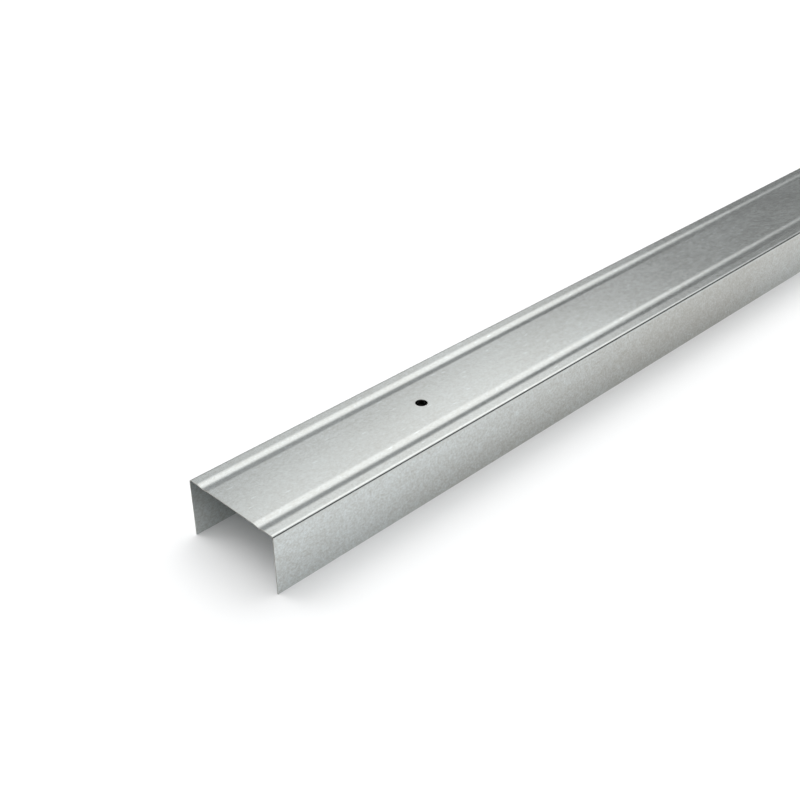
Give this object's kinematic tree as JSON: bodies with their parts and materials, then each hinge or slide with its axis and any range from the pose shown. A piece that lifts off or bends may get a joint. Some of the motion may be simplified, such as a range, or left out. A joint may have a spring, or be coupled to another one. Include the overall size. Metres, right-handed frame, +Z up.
{
  "type": "metal stud track",
  "caption": "Long U-shaped track of thin galvanised steel sheet for drywall framing, with rolled grooves and a row of fixing holes along its web.",
  "frame": {"origin": "middle of the rectangle that the track stands on, between the cut edges of its two flanges", "axes": "+X along the track, +Y across the web, +Z up from the flanges' cut edges to the web"},
  "size_m": [3, 0.075, 0.04],
  "materials": {
    "galvanised_sheet": "galvanised, skin-passed, satin with a fine mottle"
  },
  "bodies": {
    "root": {"stud_track": "galvanised_sheet"}
  },
  "joints": []
}
